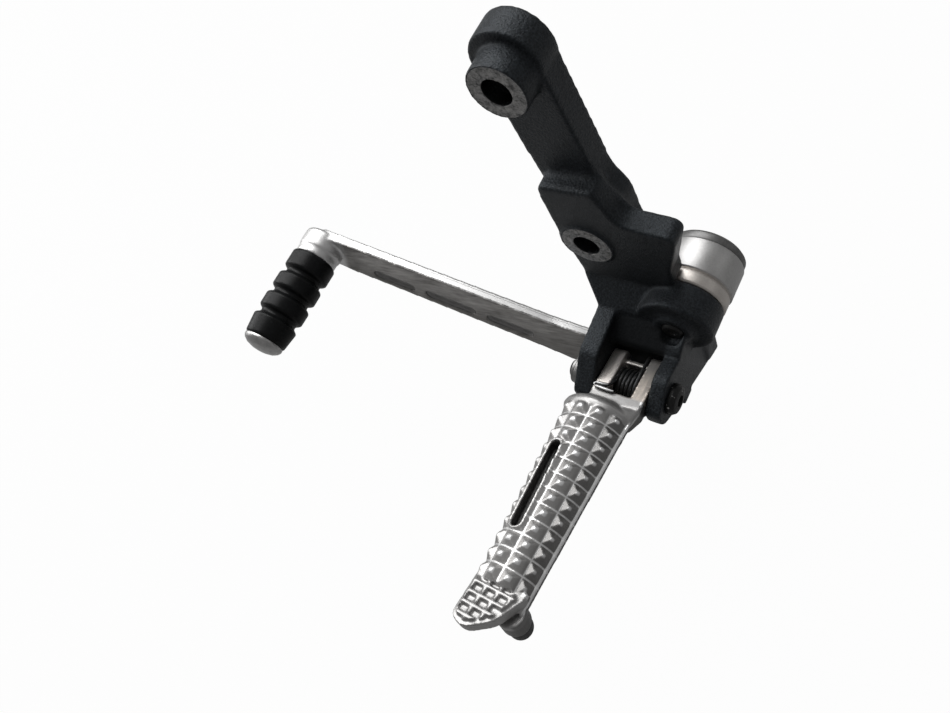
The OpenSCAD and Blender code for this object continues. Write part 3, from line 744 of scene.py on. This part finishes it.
# %% Hanger casting
HANGER_VOXEL = 0.46 * MM
HANGER_TRIANGLES = 180000
FACING_R = 14 * MM
EAR_RIB = [
    (28.5, 0, -47.5), (28.5, 0, -66.5), (35.4, 0, -48.5), (35.4, 0, -66),
    (28.5, 8.6, -49.5), (28.5, 8.6, -70), (35.4, 8.6, -50.5), (35.4, 8.6, -69.5)]
SWEEP_FOOT = [
    (0, 9, 12), (12.8, 9, 12), (0, 17.6, 12), (12.8, 17.6, 12), (0, 17.6, 1), (14.4, 17.6, 1),
    (0, 9, -8), (16.8, 9, -8), (0, 13, -9), (16.4, 13, -9)]
SWEEP = [
    (8.0, 33), (8.0, 28.6), (8.4, 25), (9.5, 22.2), (11.3, 19.3), (12.6, 16.2), (13.2, 13),
    (13.4, 8), (13.9, 4.4), (14.8, 0.6), (17, -9), (26, -9), (26, 33)]


def at_shelf(p):
    return 23 * MM < p.z < 35 * MM and p.y < 14 * MM and p.x < 13 * MM


def at_lug_root(p):
    return p.y > 7 * MM and 0 < p.z < 30 * MM and p.x > 6 * MM


def at_ear_root(p):
    return p.x > 32.5 * MM and -58 * MM < p.z < -40 * MM and p.y > -1 * MM


hanger = merged_copy("hanger_casting", "hanger_skin")
add_to(hanger, block(EAR_RIB, "ear_rib"))
add_to(hanger, block(SWEEP_FOOT, "sweep_foot"))
remesh(hanger, HANGER_VOXEL)
cut(hanger, prism(SWEEP, 10.3, 24, "sweep_tool"))
remesh(hanger, HANGER_VOXEL)
smooth(hanger, 12)
soften(hanger, at_shelf, 30)
soften(hanger, at_lug_root, 20)
soften(hanger, at_ear_root, 24)
thin_out(hanger, HANGER_TRIANGLES)
for hole_x, hole_z in (UPPER_HOLE, LOWER_HOLE):
    cut(hanger, cylinder_tool(FACING_R, (hole_x, -4 * MM, hole_z), (hole_x, FACING, hole_z)))
    cut(hanger, cylinder_tool(HOLE_R, (hole_x, -2 * MM, hole_z), (hole_x, 22 * MM, hole_z)))
bpy.ops.object.shade_smooth_by_angle(angle=math.radians(38))
finish_piece(hanger, CAST_BLACK, "black_casting", "hanger", "hanger_casting")
print("hanger skin faces:", len(hanger.data.polygons))

# %% [markdown]
# The footpeg's pyramids are small, so its skin is finer, and it gets only a light smoothing.
# That softens the ridges as blasting does and leaves the pyramids sharp enough to grip. Three
# round beads are added first: the collar, the raised edge of the slot, and the rear rim.

# %% Footpeg casting
PEG_VOXEL = 0.33 * MM
PEG_TRIANGLES = 190000
THIN_BEAD_R = 0.62 * MM
COLLAR_R = 12.6
COLLAR_BEAD_R = 3.1 * MM
COLLAR_OUT = 15.4
COLLAR_HIGH = -5.88
COLLAR_STEPS = 24
SLOT_STEPS = 28
SLOT_RIM_LIFT = 0.75
RIM_LINE = [
    (10.1, 3, 5.9), (10.1, 8, 5.9), (9.9, 11, 5.0), (9.5, 13, 3.9), (8.7, 15.2, 2.7), (7.9, 18, 1.7),
    (7.5, 22, 1.4), (7.3, 34, 1.4), (7.0, 60, 1.5), (6.5, 88, 1.6), (6.3, 92, 2.2)]


def on_peg(x, out, high):
    """A place given along the pin, outwards and upwards from it, in millimetres."""
    return Vector((
        PIN[0] + x * MM,
        PIN[1] - out * MM * math.cos(PEG_TILT) + high * MM * math.sin(PEG_TILT),
        PIN[2] + out * MM * math.sin(PEG_TILT) + high * MM * math.cos(PEG_TILT)))


def from_pin(place):
    """The same three measures of a place on the footpeg, in millimetres."""
    d = (place - Vector(PIN)) / MM
    out = -d.y * math.cos(PEG_TILT) + d.z * math.sin(PEG_TILT)
    return d.x, out, d.z * math.cos(PEG_TILT) + d.y * math.sin(PEG_TILT)


def tread_height(x, out):
    """Height of the tread's arc without its pyramids, from its half width and its rise."""
    rise = 7.2
    share = (out - TREAD_FROM) / TREAD_LENGTH
    half = 12.4 - 2.7 * share
    radius = (half * half + rise * rise) / (2 * rise)
    aside = x - TREAD_X - TREAD_SHIFT * share
    return TREAD_CREST - radius + math.sqrt(max(radius * radius - aside * aside, 0))


def collar_spot(step):
    """A place on the collar's arc, from -66 to 60 degrees."""
    angle = math.radians(-66 + 126 * step / COLLAR_STEPS)
    return on_peg(TREAD_X + COLLAR_R * math.sin(angle), COLLAR_OUT, COLLAR_HIGH + COLLAR_R * math.cos(angle))


def slot_spot(step):
    """A place on the slot's rounded outline, laid on the tread."""
    turn = 2 * math.pi * step / SLOT_STEPS
    end = SLOT_FROM if math.cos(turn) > 0 else SLOT_TO
    out = end - SLOT_HALF * math.cos(turn)
    x = SLOT_X + SLOT_HALF * math.sin(turn) + (out - SLOT_FROM) * SLOT_SLANT
    return on_peg(x, out, tread_height(x, out) + SLOT_RIM_LIFT)


def at_neck(place):
    x, out, high = from_pin(place)
    return 9.4 < out < 18.4 and (high > 3.5 or x > 1.5 and high > -4)


footpeg = merged_copy("footpeg_casting", "footpeg_skin")
collar = [collar_spot(step) for step in range(COLLAR_STEPS + 1)]
add_to(footpeg, bead(collar, COLLAR_BEAD_R, "collar_bead"))
slot_rim = [slot_spot(step) for step in range(SLOT_STEPS)]
add_to(footpeg, bead(slot_rim, THIN_BEAD_R, "slot_rim", closed=True))
remesh(footpeg, PEG_VOXEL)
soften(footpeg, at_neck, 16)
add_to(footpeg, bead([on_peg(*spot) for spot in RIM_LINE], THIN_BEAD_R, "rim_bead"))
remesh(footpeg, PEG_VOXEL)
smooth(footpeg, 3)
thin_out(footpeg, PEG_TRIANGLES)
bpy.ops.object.shade_smooth_by_angle(angle=math.radians(50))
finish_piece(footpeg, BLASTED, "blasted_alloy", "footpeg", "footpeg_casting")
print("footpeg skin faces:", len(footpeg.data.polygons))

# %% [markdown]
# The lever is forged, with a draft on its edges. A middle voxel size and a few more passes give
# the soft edge along the blade and the smooth run of the blade into its toe boss.

# %% Gear lever
LEVER_VOXEL = 0.5 * MM

lever = cast_skin("gear_lever", "lever_skin", LEVER_VOXEL, 7)
bpy.ops.object.shade_smooth_by_angle(angle=math.radians(45))
finish_piece(lever, SATIN, "satin_alloy", "lever", "gear_lever")
print("lever skin faces:", len(lever.data.polygons))

# %% [markdown]
# Turned and pressed parts keep their crisp edges. The bevel is limited to sharp corners, and
# smoothing by angle hides the facets of the round faces.

# %% Turned parts
def turned_copy(node, name, bevel):
    """A merged copy with flat faces joined up and its sharp edges bevelled."""
    piece = merged_copy(node, name)
    edit_all(piece, bpy.ops.mesh.dissolve_limited, angle_limit=math.radians(0.5))
    use(piece, "BEVEL", width=bevel, segments=2, limit_method="ANGLE", angle_limit=math.radians(28))
    bpy.ops.object.shade_smooth_by_angle(angle=math.radians(40))
    return piece


# node, bevel in millimetres, material, slot, body
TURNED = [
    ("balance_weight", 0.18, WEIGHT_STEEL, "turned_steel", "hanger"),
    ("weight_end_disc", 0.25, DISC_STEEL, "dark_steel", "hanger"),
    ("weight_bolt", 0.20, BLACK_OXIDE, "dark_steel", "hanger"),
    ("clevis_pin", 0.20, BLACK_OXIDE, "turned_steel", "hanger"),
    ("pin_washer", 0.25, PLATED, "turned_steel", "hanger"),
    ("pin_clip", 0.20, PLATED, "turned_steel", "hanger"),
    ("pivot_sleeve", 0.15, PLATED, "turned_steel", "hanger"),
    ("pivot_washer", 0.20, PLATED, "turned_steel", "hanger"),
    ("lever_pivot_bolt", 0.20, DARK_STEEL, "dark_steel", "hanger"),
    ("pivot_bush_outboard", 0.15, BRONZE, "bush_bronze", "lever"),
    ("pivot_bush_inboard", 0.15, BRONZE, "bush_bronze", "lever"),
    ("dust_seal_outboard", 0.15, RUBBER, "black_rubber", "lever"),
    ("dust_seal_inboard", 0.15, RUBBER, "black_rubber", "lever"),
    ("toe_stud", 0.20, PLATED, "turned_steel", "lever"),
    ("toe_cap", 0.30, CAP_SILVER, "turned_steel", "lever"),
    ("feeler_bolt", 0.25, FEELER_STEEL, "dark_steel", "footpeg"),
]
for node_name, bevel_mm, material, slot_name, body_name in TURNED:
    part = turned_copy(node_name, node_name + "_turned", bevel_mm * MM)
    finish_piece(part, material, slot_name, body_name, node_name)
print("turned parts:", len(TURNED))

# %% [markdown]
# The toe rubber is moulded, so its ribs roll over softly. Small voxels round their rims.

# %% Toe rubber
RUBBER_VOXEL = 0.34 * MM

rubber = cast_skin("toe_rubber", "toe_rubber_skin", RUBBER_VOXEL, 6)
bpy.ops.object.shade_smooth()
finish_piece(rubber, RUBBER, "black_rubber", "lever", "toe_rubber")
print("rubber faces:", len(rubber.data.polygons))

# %% [markdown]
# The spring's wire has eight sides in the solid model, and one subdivision level makes it round.
# The end that lies over the tongue is first moved along the pin, to where the picture shows it.

# %% Return spring
WIRE_END_MOVE = 3.6 * MM


def at_wire_end(place):
    x, out, high = from_pin(place)
    return -4.4 < x < -3.6 and out > 8.0 and high > 6


spring = merged_copy("return_spring", "return_spring_wire")
bpy.ops.object.mode_set(mode="EDIT")
bpy.ops.mesh.select_all(action="DESELECT")
bpy.ops.object.mode_set(mode="OBJECT")
for vertex in spring.data.vertices:
    vertex.select = at_wire_end(vertex.co)
bpy.ops.object.mode_set(mode="EDIT")
bpy.ops.mesh.select_mode(type="VERT")
bpy.ops.transform.translate(value=(WIRE_END_MOVE, 0, 0))
bpy.ops.object.mode_set(mode="OBJECT")
use(spring, "SUBSURF", levels=1, render_levels=1)
bpy.ops.object.shade_smooth()
finish_piece(spring, SPRING_BLACK, "black_spring", "footpeg", "return_spring")
print("spring faces:", len(spring.data.polygons))

# %% [markdown]
# The set is a pale floor under a white surround. Camera rays and rays through glass see the floor
# near white, and a soft shadow still shows. Mirrored rays see it much darker, because the front
# faces of the black paint mirror it at a low angle and would turn grey.

# %% Floor
FLOOR_GREY = 0.30
FLOOR_SIZE = 6
FLOOR_GAP = 1 * MM
SEEN_GLOW = 0.975
MIRRORED_GLOW = 0.06
GLASS_GLOW = 0.965


def pale_floor():
    finish = Finish("studio_floor")
    finish.set(Base_Color=(FLOOR_GREY, FLOOR_GREY, FLOOR_GREY, 1), Roughness=0.7)
    glow = finish.node("ShaderNodeEmission", {}, {"Color": (1, 1, 1, 1), "Strength": 1.0})
    rays = finish.node("ShaderNodeLightPath", {}, {})
    seen = Amount(finish, rays.outputs["Is Camera Ray"])
    mirrored = Amount(finish, rays.outputs["Is Glossy Ray"])
    through_glass = Amount(finish, rays.outputs["Is Transmission Ray"])
    share = (seen * SEEN_GLOW).most(mirrored * MIRRORED_GLOW).most(through_glass * GLASS_GLOW)
    mixed = finish.node("ShaderNodeMixShader", {}, {
        0: share, 1: finish.shader.outputs[0], 2: glow.outputs[0]})
    output = finish.tree.nodes["Material Output"]
    finish.tree.links.new(mixed.outputs[0], output.inputs["Surface"])
    return finish.material


floor_z = cad_box[0].z - FLOOR_GAP
bpy.ops.object.select_all(action="DESELECT")
bpy.ops.mesh.primitive_plane_add(size=FLOOR_SIZE, location=(0, 0, floor_z))
floor = bpy.context.object
floor.name = "studio_floor"
floor.data.materials.append(pale_floor())
print("floor height:", round(floor_z, 4))

# %% [markdown]
# One wide softbox hangs overhead, towards the front and inboard, where the faces that look up
# mirror it to the camera. It gives the lever's top edge and the round parts their pale bands. A
# second one from the front lights the left slopes of the tread, and a weak one fills the rear.
# The surround is white to the camera and through glass, and dim to every other ray.

# %% Lamps and surround
SURROUND_BASE = 0.14
SURROUND_GAINS = (("Is Camera Ray", 0.86), ("Is Glossy Ray", 0.12), ("Is Transmission Ray", 0.86))


def softbox(name, place, target, width, height, watts):
    data = bpy.data.lights.new(name, "AREA")
    data.shape = "RECTANGLE"
    data.size = width
    data.size_y = height
    data.energy = watts
    lamp = in_scene(name, data)
    lamp.location = place
    lamp.rotation_euler = (Vector(target) - Vector(place)).to_track_quat("-Z", "Y").to_euler()


softbox("overhead_box", (-0.50, 0.44, 1.05), (0, 0, 0), 1.20, 1.00, 18)
softbox("front_box", (-1.15, -0.1, 0.50), (0, 0, 0), 0.8, 0.8, 6)
softbox("rear_fill", (0.9, 0.5, 0.35), (0, 0, -0.02), 0.4, 0.4, 0.25)

world = bpy.data.worlds.new("studio_surround")
bpy.context.scene.world = world
world.use_nodes = True
surround = world.node_tree
background = surround.nodes["Background"]
paths = surround.nodes.new("ShaderNodeLightPath")
strength = None
for ray, gain in SURROUND_GAINS:
    total = surround.nodes.new("ShaderNodeMath")
    total.operation = "MULTIPLY_ADD"
    surround.links.new(paths.outputs[ray], total.inputs[0])
    total.inputs[1].default_value = gain
    total.inputs[2].default_value = SURROUND_BASE
    if strength is not None:
        surround.links.new(strength, total.inputs[2])
    strength = total.outputs[0]
surround.links.new(strength, background.inputs["Strength"])
background.inputs["Color"].default_value = (1, 1, 1, 1)
bpy.context.scene.view_settings.view_transform = "Standard"
print("lamps:", len(bpy.data.lights))
